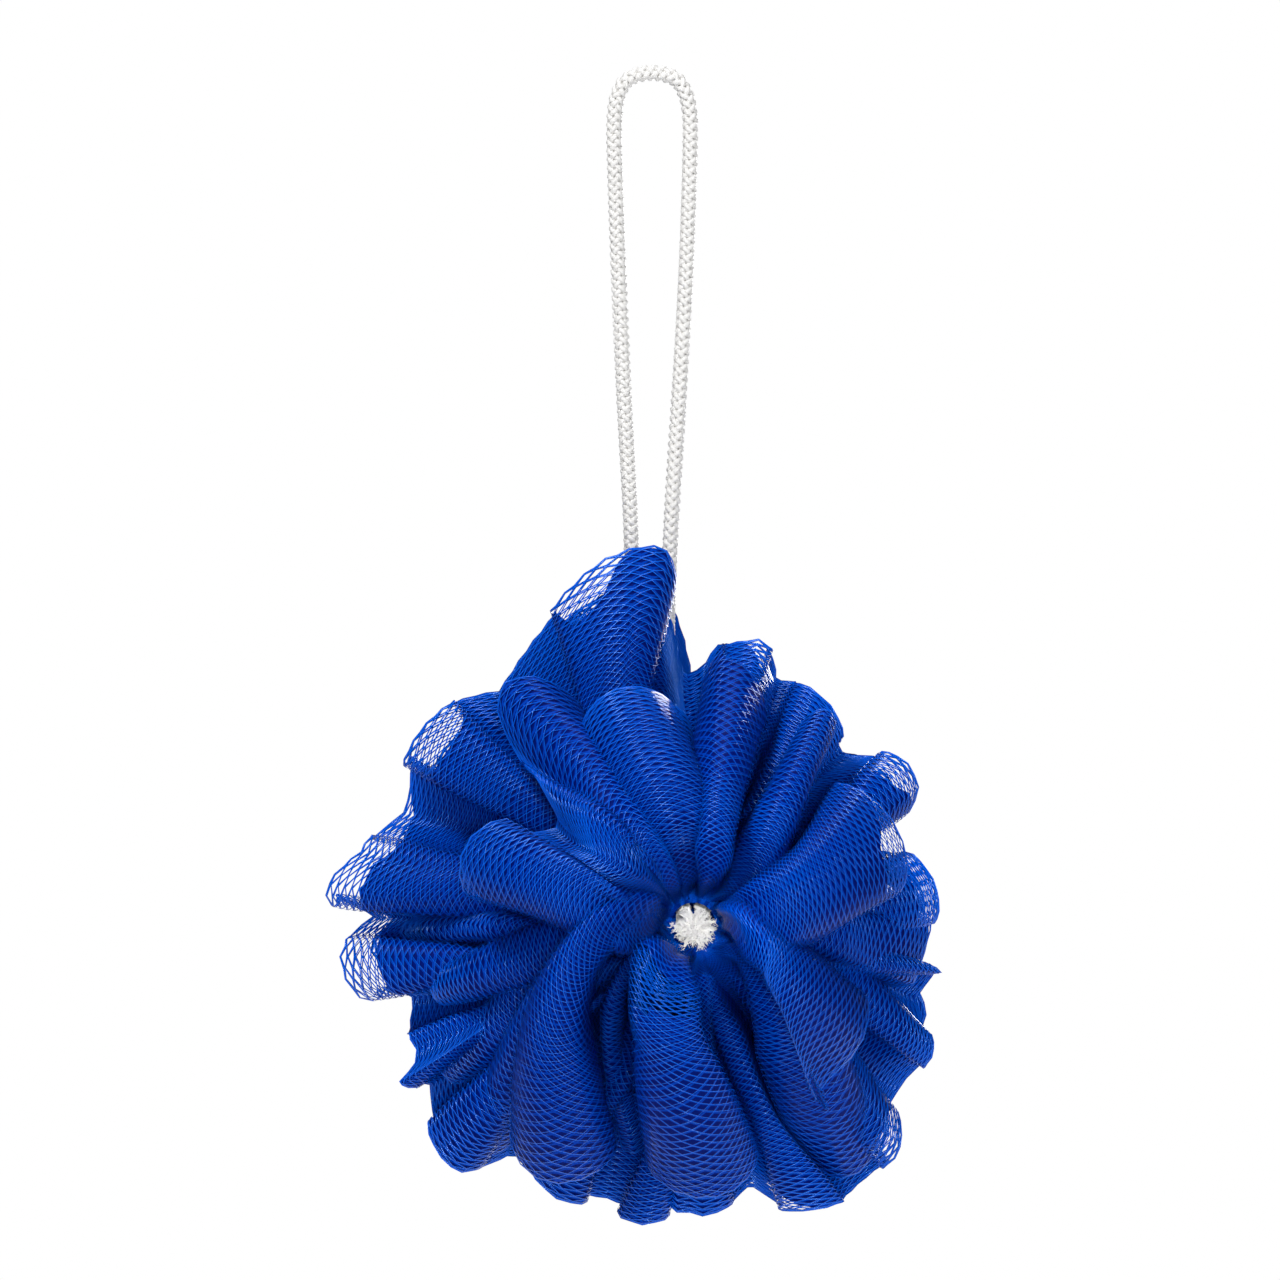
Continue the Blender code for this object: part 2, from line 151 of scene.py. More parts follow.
# The cord's line from the knot, round the hanging loop and back to the knot, as in part.py
CORD_ROUTE = [
    (0.0065, -0.0236, -0.1720),
    (0.0065, -0.0170, -0.1720),
    (0.0065, -0.0100, -0.1720),
    (0.0065, -0.0035, -0.1711),
    (0.0063, -0.0009, -0.1685),
    (0.0056, 0.0000, -0.1645),
    (0.0036, 0.0000, -0.1570),
    (0.0006, 0.0000, -0.1450),
    (-0.0020, 0.0000, -0.1325),
    (-0.0038, 0.0000, -0.1200),
    (-0.0041, 0.0000, -0.1070),
    (-0.0044, 0.0000, -0.0900),
    (-0.0057, 0.0000, -0.0654),
    (-0.0069, 0.0000, -0.0380),
    (-0.0077, 0.0000, -0.0140),
    (-0.0076, 0.0000, -0.0064),
    (-0.0067, 0.0000, -0.0022),
    (-0.0046, 0.0000, 0.0006),
    (0.0000, 0.0000, 0.0017),
    (0.0046, 0.0000, 0.0006),
    (0.0067, 0.0000, -0.0022),
    (0.0077, 0.0000, -0.0064),
    (0.0078, 0.0000, -0.0140),
    (0.0070, 0.0000, -0.0380),
    (0.0055, 0.0000, -0.0654),
    (0.0040, 0.0000, -0.0900),
    (0.0033, 0.0000, -0.1070),
    (0.0034, 0.0000, -0.1200),
    (0.0052, 0.0000, -0.1325),
    (0.0074, 0.0000, -0.1450),
    (0.0092, 0.0000, -0.1570),
    (0.0101, 0.0000, -0.1645),
    (0.0103, -0.0009, -0.1685),
    (0.0103, -0.0035, -0.1711),
    (0.0103, -0.0100, -0.1720),
    (0.0103, -0.0170, -0.1720),
    (0.0103, -0.0236, -0.1720),
]

# The net: its cells, the samples that its rows and length are measured on, and its random seed
CELL_LENGTH = 0.0034
STRAND_ROWS = 92
ROW_SAMPLES = 101
COLUMN_SAMPLES = 1000
STEPS_A_BEND = 40
MEASURED_SHARE = 0.7
NET_SEED = 3
NET_PIECES = ("netting_front", "netting_front_rim", "netting_rim", "netting_middle", "netting_back")

# The net's strands, which are wider towards the rim, and their overlap at the nodes
OUTER_STRAND = 0.00017
RIM_STRAND = 0.00034
HEM_STRAND = 0.00055
WIDER_FROM = 0.8
NODE_SHARE = 0.55
STRAND_ROUNDNESS = math.radians(45)

# How far the two layers of strands stand off the sheet between them, and how that closes at the rim
LAYER_GAP = 0.00032
PUFF = 0.00030
SLACK = 0.0004
ROUND_SHARE = 0.85

# Heights of the creases, which fade out near the rim, and of the soft folds, which grow to half way out
CREASE = 0.0014
CREASE_SPREAD = 1.1
SOFT_FOLD = 0.0022
SOFT_FOLD_FULL = 0.5

# Uneven pull of the net, along the strip in bends and across it in shares of its depth
ALONG_DRIFT = 0.10
ACROSS_DRIFT = 0.035

# Random waves over the strip: columns in a wave, and bands down the strip
ALONG_WAVES = (24, 5)
ACROSS_WAVES = (16, 6)
CREASE_WAVES = (3, 2)
SOFT_FOLD_WAVES = (9, 3)
PUFF_WAVES = (9, 7)
SLACK_WAVES = (5, 7)

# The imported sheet: how far out it goes and its rows. OPEN_LOBES gives the azimuths and half widths of the
# lobes where it ends OPEN_SHARE further in, and LOBE_END says where that ends, in half widths. LOOSE_PLACE
# and LOOSE_SIZE are the hole in it on the low front petal, in bends along the strip and in shares of its
# depth
PACKED_SHARE = 0.995
PACKED_ROWS = 24
OPEN_LOBES = (
    (146, 6), (165, 5), (174, 5), (185, 6), (6, 5), (37, 3), (75, 3), (287, 5), (311, 3), (104, 3),
)
LOBE_END = 1.5
OPEN_SHARE = 0.08
LOOSE_PLACE = (0.80, 0.40)
LOOSE_SIZE = (0.34, 0.11)

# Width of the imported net's strands, as a share of a cell
PACKED_STRAND = 0.11

# The cord's braid. YARNS turn each way
YARNS = 3
BRAID_LAY = 0.0053
BRAID_RADIUS = 0.00102
BRAID_WAVE = 0.00030
BRAID_FILLING = 0.00105
YARN_WIDTH = 0.00110
YARN_DEPTH = 0.00086
YARN_STEPS = 15
YARN_SIDES = 6

# The cord's uneven turn in radians, and the steps of its curve and of the path that goes with it
CORD_SEED = 11
CORD_TURN = 0.5
CORD_TURN_WAVES = 9
ROUTE_STEPS = 24
PATH_STEP = 8

# The knot's yarn ends: where they start and end in shares of the knot, how they stray, and their thickness
KNOT_SEED = 5
KNOT_TIPS = 90
TIP_SCATTER = 0.2
TIP_SPREAD = 0.9
TIP_START = 0.25
TIP_END = (0.82, 1.12)
TIP_STRAY = 0.00016
TIP_WIDTH = 0.00085
TIP_SWELL = (0.6, 0.8, 1.0, 1.1, 0.9, 0.35)
TIP_FULLNESS = (0.8, 1.25)
TIP_SIDES = 7

# The fibres at each yarn end: how they stray, curl and taper
TIP_FIBRES = 8
FIBRE_SCATTER = 0.0002
FIBRE_SPREAD = 0.6
FIBRE_CURL = 0.35
FIBRE_REACH = (0.0004, 0.0011)
FIBRE_STEPS = 4
FIBRE_WIDTH = 0.00018
FIBRE_POINT = 0.4
FIBRE_SIDES = 3

# A direction that no yarn end or fibre follows, which turns the sections of their tubes
SECTION_AXIS = (0.31, 0.2, 0.93)

# Colours, and the tint of the light that the net throws back
NET_BLUE = (0.0, 0.094, 0.67)
# The packed net's blue and the blue of its drawn strands are painted shade: darker copies of the strands' own
# blue, for the shade deep between the net's layers.
PACKED_PAINTED_SHADE_BLUE = (0.0, 0.008, 0.155)
PACKED_STRAND_PAINTED_SHADE_BLUE = (0.0, 0.042, 0.42)
NET_SHINE = (0.34, 0.60, 1.0, 1.0)
CORD_WHITE = (0.80, 0.79, 0.775)
# The filling's grey is painted shade: it darkens the grooves between the cord's white yarns.
GROOVE_PAINTED_SHADE_GREY = (0.50, 0.49, 0.465)
# The knot's white is painted light: lighter than the cord's white, against the shade of the hollow it sits
# in.
FRAYED_PAINTED_LIGHT_WHITE = (0.95, 0.94, 0.91)
FLOOR_GREY = (0.85, 0.85, 0.85)

# The lamps: name, place, size and power
LAMPS = [
    ("key", (-0.35, -0.60, 0.60), 0.25, 7),
    ("fill", (0.80, -0.60, -0.05), 0.4, 2.1),
    ("front", (0.05, -1.3, -0.10), 0.2, 4.9),
    ("top", (0.1, 0.15, 0.8), 0.4, 2.8),
    ("back", (0.30, 0.90, 0.10), 0.5, 7),
]
LAMP_TARGET = (0, 0, -0.16)
SOFT_COLOUR = (0.92, 0.96, 1.0, 1)
SOFT_LIGHT = 0.085

# The knot's lamp
KNOT_LAMP_PLACE = (CORE_X, -1.0, CORE_Z + 0.1)
KNOT_LAMP_ANGLE = 0.8
KNOT_LAMP_BLEND = 0.6
KNOT_LAMP_SIZE = 0.01
KNOT_LAMP_POWER = 65

# The floor
FLOOR_SIZE = 3
FLOOR_HEIGHT = -0.42

# The photo's framing
FRAME_WIDTH = 0.2624
FRAME_CENTRE = (-0.00246, 0.0, -0.1146)
CAMERA_DISTANCE = 1.0
CLIP_END = 20


def outline_reach(azimuth):
    """The photo's outline at an azimuth, in ball radii."""
    places, reaches = zip(*OUTLINE)
    return np.interp(azimuth % 360, places, reaches, period=360)


def eased(share):
    """A share from 0 to 1 that starts and ends slowly."""
    return share * share * (3 - 2 * share)


def strip_bends():
    """Bends in order: azimuth, root turn, reach, rim and crest depths, bend place, overhang, bulge, lean."""
    bends = [(*FRONT_START, VALLEY_BEND, 1.0, 0.0, 0.0)]
    for fold in FRONT_FOLDS:
        valley, *shape = fold[9:]
        bends.append(fold[:9])
        bends.append((valley, None, *shape, VALLEY_BEND, 1.0, 0.0, 0.0))
    for ridge, sweep, reach, valley, valley_reach in RIM_FOLDS:
        bends.append((ridge, sweep, reach, *RIM_RIDGE_DEPTHS, RIDGE_BEND, RIM_OVERHANG, RIM_BULGE, 0.0))
        bends.append((valley, None, valley_reach, *RIM_VALLEY_DEPTHS, VALLEY_BEND, 1.0, 0.0, 0.0))
    random = np.random.default_rng(BACK_SEED)
    start = RIM_FOLDS[-1][3]
    for folds, forward, backward, forward_share, backward_share in BACK_TURNS:
        step = 360 / folds
        for fold in range(folds):
            for half, depths, share in ((0.5, forward, forward_share), (1.0, backward, backward_share)):
                azimuth = start + (fold + half + BACK_STRAY["azimuth"] * random.uniform(-1, 1)) * step
                reach = share * (1 - BACK_STRAY["reach"] * random.uniform(0, 1))
                rim, crest = depths + BACK_STRAY["depth"] * random.uniform(-1, 1, 2)
                sweep = BACK_STRAY["turn"] * random.uniform(-1, 1)
                bends.append((azimuth, sweep, reach, rim, crest, RIDGE_BEND, BACK_OVERHANG, 0.0, 0.0))
        start += 360
    for place, bend in enumerate(bends):
        if bend[1] is None:
            before, after = bends[place - 1][1], bends[place + 1][1]
            sweep = min(before, after, key=abs) if before * after > 0 else (before + after) / 2
            bends[place] = (bend[0], sweep, *bend[2:])
    return np.array(bends, float)


def gather_radius():
    """The radius at which the net is gathered about the cord's two strands."""
    return CORD_DIAMETER + CORD_CLEARANCE + WALL / 2


def clear_of_cord(places, front):
    """Moves the net out of the cord's way, forward where it is in front of the cord and else back."""
    margin = CORD_DIAMETER / 2 + 2 * CORD_CLEARANCE + WALL / 2
    route = np.array(CORD_ROUTE)
    middle = ((route + route[::-1]) / 2)[: len(route) // 2]
    centre = np.interp(places[:, 2], middle[:, 2], middle[:, 0])
    weight = eased(np.clip((CORD_ROOM - np.abs(places[:, 0] - centre)) / CORD_EASE, 0, 1))
    weight *= places[:, 2] > CORE_Z - gather_radius()
    side = np.where(front, -1.0, 1.0)
    short = np.clip(margin - places[:, 1] * side, 0, None)
    places[:, 1] += side * short * weight
    return places


def least_radius(depth):
    """How near the core the net may come: up to the gathers, and clear of the knot in front of them."""
    reach = KNOT_DEPTH * (1 + KNOT_LUMPS) / 2
    middle = CORD_ROUTE[0][1] - SEAT_GAP - reach
    room = (KNOT_WIDTH * (1 + KNOT_LUMPS) + WALL) / 2 + KNOT_CLEARANCE
    beside = eased(np.clip((reach + 2 * KNOT_CLEARANCE - np.abs(depth - middle)) / KNOT_EASE, 0, 1))
    return gather_radius() + (room - gather_radius()) * beside


def strip_points(bends, u, v):
    """Places on the strip. u counts bends along it, and v runs from the gathers at 0 to the rim at 1."""
    first = np.clip(np.floor(u).astype(int), 0, len(bends) - 2)
    part = u - first
    share = (1 - np.cos(np.pi * part)) / 2
    overhang = bends[first, 6] * (1 - part) + bends[first + 1, 6] * part
    swing = part + overhang * np.clip(v / OVERHANG_SHARE, 0, 1) * np.sin(2 * np.pi * part) / (2 * np.pi)
    reach_share = (1 - np.cos(np.pi * np.clip(swing, 0, 1))) / 2

    def between(column, share):
        return bends[first, column] * (1 - share) + bends[first + 1, column] * share

    root = between(0, part)
    along = (root - bends[0, 0]) / (bends[-1, 0] - bends[0, 0])
    turned = between(0, swing) + between(1, share) * (1 - v) ** SWEEP_POWER
    opening = np.clip(v / ROOT_SHARE, 0, 1)
    azimuth = np.radians(turned + (root - turned) * (1 - opening) ** ROOT_EASE)
    gather_depth = GATHER_LENGTH * (along - 0.5)
    outline = outline_reach(between(0, swing))
    reach = between(2, reach_share)
    front_bends = 1 + 2 * len(FRONT_FOLDS)
    reach = np.where(u < front_bends, np.minimum(reach, FRONT_LIMIT * outline), reach * outline) * BALL_RADIUS
    rim = between(3, share) * BALL_RADIUS
    crest = between(4, share) * BALL_RADIUS
    control = 2 * crest - (gather_depth + rim) / 2
    near, middle, far = (1 - v) ** 2, 2 * v * (1 - v), v**2
    radius = near * gather_radius() + middle * between(5, share) * reach + far * reach
    depth = near * gather_depth + middle * control + far * rim
    depth = gather_depth + (depth - gather_depth) * eased(opening)
    wide = np.clip(v / BULGE_SHARE, 0, 1)
    waves = STRAY_WAVES
    sideways = between(7, part) * np.sin(2 * np.pi * part) + between(8, share)
    sideways += STRAY * np.sin(waves[0] * u + waves[1] * v)
    azimuth += sideways * eased(wide) / radius
    depth += STRAY * wide * np.sin(waves[2] * u - waves[3] * v)
    radius = np.maximum(radius, least_radius(depth))
    closing = eased(np.clip((gather_depth - CLOSING_DEPTH) / CLOSING_EASE, 0, 1))
    radius -= near * closing * (gather_radius() - CLOSED_RADIUS)
    places = np.stack([CORE_X + radius * np.cos(azimuth), depth, CORE_Z + radius * np.sin(azimuth)], 1)
    cord_bend = front_bends + 2 * len(RIM_FOLDS)
    return clear_of_cord(places, u < cord_bend)


def unit(vectors):
    """The vectors at a length of one."""
    return vectors / np.maximum(np.linalg.norm(vectors, axis=-1, keepdims=True), 1e-12)


def new_mesh(name, places, faces):
    """A smooth mesh object in the scene."""
    mesh = bpy.data.meshes.new(name)
    mesh.vertices.add(len(places))
    mesh.vertices.foreach_set("co", places.astype(np.float32).ravel())
    mesh.loops.add(faces.size)
    mesh.loops.foreach_set("vertex_index", faces.astype(np.int32).ravel())
    mesh.polygons.add(len(faces))
    mesh.polygons.foreach_set("loop_start", np.arange(0, faces.size, faces.shape[1], dtype=np.int32))
    mesh.polygons.foreach_set("use_smooth", np.ones(len(faces), bool))
    mesh.update(calc_edges=True)
    item = bpy.data.objects.new(name, mesh)
    bpy.context.scene.collection.objects.link(item)
    return item


def tubes(name, centres, side_a, side_b, sides):
    """Tubes with open ends along rows of centres. side_a and side_b are the half axes of their sections."""
    count, steps, _ = centres.shape
    angle = np.arange(sides) * 2 * np.pi / sides
    rings = (
        centres[:, :, None]
        + side_a[:, :, None] * np.cos(angle)[None, None, :, None]
        + side_b[:, :, None] * np.sin(angle)[None, None, :, None]
    )
    index = np.arange(count * steps * sides).reshape(count, steps, sides)
    a = index[:, :-1]
    b = index[:, 1:]
    faces = np.stack([a, np.roll(a, -1, 2), np.roll(b, -1, 2), b], -1).reshape(-1, 4)
    return new_mesh(name, rings.reshape(-1, 3), faces)


def smooth_noise(length, count, random):
    """Values mostly from -1 to 1 that change smoothly over count waves."""
    knots = random.uniform(-1, 1, count + 3)
    place = np.linspace(0, count, length)
    first = np.minimum(np.floor(place).astype(int), count - 1)
    t = place - first
    a, b, c, d = knots[first], knots[first + 1], knots[first + 2], knots[first + 3]
    return (
        a * (1 - t) ** 3 + b * (3 * t**3 - 6 * t**2 + 4) + c * (-3 * t**3 + 3 * t**2 + 3 * t + 1) + d * t**3
    ) / 4


def even_rows(bends):
    """v of each row of the net, evenly spaced down the strip's mean depth."""
    fine = np.linspace(0, 1, ROW_SAMPLES)
    grid_u, grid_v = np.meshgrid(np.linspace(0, len(bends) - 1, COLUMN_SAMPLES), fine)
    places = strip_points(bends, grid_u.ravel(), grid_v.ravel()).reshape(ROW_SAMPLES, COLUMN_SAMPLES, 3)
    lengths = np.concatenate([[0], np.cumsum(np.linalg.norm(np.diff(places, axis=0), axis=2).mean(1))])
    return np.interp(np.linspace(0, lengths[-1], STRAND_ROWS + 1), lengths, fine)


def net_rows(net, across, normal, width, columns):
    """One zigzag ribbon for each row of a layer, with its normals fanned so that it shades as round."""
    rows = len(net) - 1
    high = (columns[None, :] + np.arange(rows)[:, None]) % 2 == 0
    side = across[:-1] * width[:-1, None, None]
    shift = side * NODE_SHARE / 2
    middle = np.where(high[..., None], net[1:] - shift, net[:-1] + shift)
    edges = np.stack([middle - side / 2, middle + side / 2], 2)
    lean = np.sin(STRAND_ROUNDNESS) * across[:-1]
    up = np.cos(STRAND_ROUNDNESS) * normal[:-1]
    fans = np.stack([up - lean, up + lean], 2)
    index = np.arange(edges.shape[0] * edges.shape[1] * 2).reshape(edges.shape[:3])
    faces = np.stack([index[:, :-1, 0], index[:, 1:, 0], index[:, 1:, 1], index[:, :-1, 1]], -1)
    return edges.reshape(-1, 3), fans.reshape(-1, 3), faces.reshape(-1, 4)


def net_grid(bends, random):
    """The strip's places and its directions across and out, at every node of the unevenly pulled net."""
    fine = np.linspace(0, len(bends) - 1, STEPS_A_BEND * (len(bends) - 1) + 1)
    line = strip_points(bends, fine, np.full(len(fine), MEASURED_SHARE))
    lengths = np.concatenate([[0], np.cumsum(np.linalg.norm(np.diff(line, axis=0), axis=1))])
    half_cells = 2 * round(lengths[-1] / CELL_LENGTH)
    u = np.interp(np.linspace(0, lengths[-1], half_cells + 1), lengths, fine)
    v = even_rows(bends)
    inside = np.sin(np.pi * v)[:, None]
    grid_u = u + ALONG_DRIFT * inside * blended(ALONG_WAVES, v, len(u), random)
    grid_v = v[:, None] + ACROSS_DRIFT * inside * blended(ACROSS_WAVES, v, len(u), random)
    grid_u = np.clip(grid_u, 0, len(bends) - 1)
    places = strip_points(bends, grid_u.ravel(), grid_v.ravel()).reshape(len(v), len(u), 3)
    along = unit(np.gradient(places, axis=1))
    across = unit(np.gradient(places, axis=0))
    normal = unit(np.cross(along, across))
    across = unit(np.cross(normal, along))
    return u, v, places, across, normal, lengths[-1]


def blended(waves, v, columns, random):
    """Smooth random values over the strip, in waves along it and in bands that blend across it."""
    wave, bands = waves
    rows = np.stack([smooth_noise(columns, columns // wave, random) for _ in range(bands + 1)])
    return np.clip(1 - np.abs(v[:, None] * bands - np.arange(bands + 1)[None, :]), 0, 1) @ rows


def packed_limit(azimuth):
    """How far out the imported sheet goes: nearly to the rim, but less in the open lobes of every turn."""
    opened = np.zeros(len(azimuth))
    for place, width in OPEN_LOBES:
        away = np.abs((azimuth - place + 180) % 360 - 180)
        opened = np.maximum(opened, eased(np.clip(LOBE_END - away / width, 0, 1)))
    return PACKED_SHARE - OPEN_SHARE * opened


def make_packed(u, v, middle, azimuth, material):
    """The net where it is packed too close to see through, in the dark blue of painted shade. Its map counts
    cells, to draw its strands by.
    """
    reach = np.linspace(0, 1, PACKED_ROWS + 1)[:, None] * packed_limit(azimuth)[None, :]
    row = np.interp(reach, v, np.arange(len(v)))
    low = np.minimum(np.floor(row).astype(int), len(v) - 2)
    rise = (row - low)[..., None]
    column = np.arange(len(u))[None, :]
    places = middle[low, column] * (1 - rise) + middle[low + 1, column] * rise
    index = np.arange(reach.size).reshape(reach.shape)
    faces = np.stack([index[:-1, :-1], index[:-1, 1:], index[1:, 1:], index[1:, :-1]], -1)
    away = (u[None, :] - LOOSE_PLACE[0]) / LOOSE_SIZE[0], (reach - LOOSE_PLACE[1]) / LOOSE_SIZE[1]
    loose = away[0] ** 2 + away[1] ** 2 < 1
    faces = faces[~loose[:-1, :-1]]
    packed = new_mesh("packed_netting", places.reshape(-1, 3), faces)
    cells = np.stack([np.broadcast_to(column / 2, row.shape), row / 2], -1).reshape(-1, 2)
    uv = packed.data.uv_layers.new(name="cells")
    uv.data.foreach_set("uv", cells[faces.ravel()].astype(np.float32).ravel())
    # Its material is painted shade, a dark copy of the net's blue.
    packed.data.materials.append(material)
    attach(packed, "root")
    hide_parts("mesh_ruffle")


def creased(places, normal, v, random):
    """The places with creases and soft folds in them."""
    columns = places.shape[1]
    inside = np.sin(np.pi * np.clip(v * CREASE_SPREAD, 0, 1))[:, None]
    crease = CREASE * blended(CREASE_WAVES, v, columns, random) * inside
    outward = eased(np.clip(v / SOFT_FOLD_FULL, 0, 1))[:, None]
    crease += SOFT_FOLD * blended(SOFT_FOLD_WAVES, v, columns, random) * outward
    return places + normal * crease[..., None]


def strand_layers(middle, across, normal, v, random):
    """The two layers of strands, one on each side of the sheet. They meet at the gathers and at the rim."""
    columns = middle.shape[1]
    opening = np.clip(v / ROOT_SHARE, 0, 1)[:, None]
    rounding = np.sqrt(1 - np.clip((v - ROUND_SHARE) / (1 - ROUND_SHARE), 0, 1) ** 2)[:, None]
    layers = []
    for side in (-1, 1):
        puff = LAYER_GAP + PUFF * (1 + blended(PUFF_WAVES, v, columns, random)) / 2
        slide = SLACK * blended(SLACK_WAVES, v, columns, random) * opening * rounding
        lift = side * puff * opening * rounding
        layers.append(middle + normal * lift[..., None] + across * slide[..., None])
    return layers


def make_strands(name, layers, across, normal, width, columns, material):
    """The strands of both layers over some of the net's columns, as one piece."""
    parts, total = [], 0
    for net in layers:
        spots, fans, faces = net_rows(net[:, columns], across[:, columns], normal[:, columns], width, columns)
        parts.append((spots, fans, faces + total))
        total += len(spots)
    spots, fans, faces = (np.concatenate(arrays) for arrays in zip(*parts))
    piece = new_mesh(name, spots, faces)
    piece.data.materials.append(material)
    piece.data.normals_split_custom_set_from_vertices(fans.astype(np.float32))
    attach(piece, "root")
    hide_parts("mesh_ruffle")
    return piece


def make_netting(strand, packed):
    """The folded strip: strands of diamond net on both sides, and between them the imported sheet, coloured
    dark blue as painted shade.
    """
    bends = strip_bends()
    random = np.random.default_rng(NET_SEED)
    u, v, places, across, normal, length = net_grid(bends, random)
    middle = creased(places, normal, v, random)
    layers = strand_layers(middle, across, normal, v, random)
    wider = np.clip((v - WIDER_FROM) / (1 - WIDER_FROM), 0, 1)
    width = OUTER_STRAND + (RIM_STRAND - OUTER_STRAND) * wider
    width[-2] = HEM_STRAND
    borders = 2 * np.linspace(0, (len(u) - 1) / 2, len(NET_PIECES) + 1).round().astype(int)
    for name, start, stop in zip(NET_PIECES, borders, borders[1:]):
        columns = np.arange(start, stop + 1)
        piece = make_strands(name, layers, across, normal, width, columns, strand)
    azimuth = np.interp(u, np.arange(len(bends)), bends[:, 0])
    make_packed(u, v, middle, azimuth, packed)


def smooth_route(points, spacing):
    """A Catmull-Rom curve through the points, read at even spacing."""
    points = np.array(points)
    ends = np.vstack([2 * points[0] - points[1], points, 2 * points[-1] - points[-2]])
    t = np.linspace(0, 1, ROUTE_STEPS, endpoint=False)[:, None]
    fine = []
    for a, b, c, d in zip(ends, ends[1:], ends[2:], ends[3:]):
        bend, twist = a - 2.5 * b + 2 * c - d / 2, 1.5 * (b - c) + (d - a) / 2
        fine.append(b + t * (c - a) / 2 + t**2 * bend + t**3 * twist)
    fine = np.vstack([*fine, points[-1:]])
    lengths = np.concatenate([[0], np.cumsum(np.linalg.norm(np.diff(fine, axis=0), axis=1))])
    places = np.linspace(0, lengths[-1], max(2, round(lengths[-1] / spacing)) + 1)
    return np.stack([np.interp(places, lengths, fine[:, axis]) for axis in range(3)], 1)


def make_cord(material, groove_painted_shade):
    """Yarns braided over one and under one, YARNS of them each way, about the yarn that fills them. The
    filling's grey is painted shade in the grooves between the yarns.
    """
    route = smooth_route(CORD_ROUTE, BRAID_LAY / YARN_STEPS)
    length = np.linalg.norm(np.diff(route, axis=0), axis=1).sum()
    tangent = unit(np.gradient(route, axis=0))
    first = np.zeros_like(route)
    first[0] = (1.0, 0.0, 0.0)
    for place in range(1, len(route)):
        carried = first[place - 1] - tangent[place] * (first[place - 1] @ tangent[place])
        first[place] = carried / np.linalg.norm(carried)
    second = np.cross(tangent, first)
    travelled = np.linspace(0, length, len(route))
    random = np.random.default_rng(CORD_SEED)
    twist = CORD_TURN * smooth_noise(len(route), CORD_TURN_WAVES, random)
    centres, wide, deep = [], [], []
    for way in (1, -1):
        for yarn in range(YARNS):
            angle = way * 2 * np.pi * travelled / BRAID_LAY + yarn * 2 * np.pi / YARNS
            over = way * np.cos(YARNS * angle)
            radius = BRAID_RADIUS + BRAID_WAVE * over
            turned = angle + twist
            out = first * np.cos(turned)[:, None] + second * np.sin(turned)[:, None]
            line = route + out * radius[:, None]
            heading = unit(np.gradient(line, axis=0))
            side = unit(np.cross(out, heading))
            centres.append(line)
            wide.append(side * YARN_WIDTH / 2)
            deep.append(np.cross(heading, side) * YARN_DEPTH / 2)
    centres.append(route)
    wide.append(first * BRAID_FILLING)
    deep.append(second * BRAID_FILLING)
    cord = tubes("braided_cord", np.array(centres), np.array(wide), np.array(deep), YARN_SIDES)
    cord.data.materials.append(material)
    cord.data.materials.append(groove_painted_shade)
    # The filling tube gets the second material, whose grey is painted shade in the grooves.
    slots = np.zeros(len(cord.data.polygons), np.int32)
    slots[-(len(route) - 1) * YARN_SIDES :] = 1
    cord.data.polygons.foreach_set("material_index", slots)
    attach(cord, "root")
    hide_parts("hanging_cord")
    return cord, route[::PATH_STEP], length


def make_stubs(name, paths, thickness, sides):
    """Round tubes along free paths, with a thickness for each step."""
    tangent = unit(np.gradient(paths, axis=1))
    side = unit(np.cross(tangent, np.array(SECTION_AXIS)))
    return tubes(name, paths, side * thickness, np.cross(tangent, side) * thickness, sides)


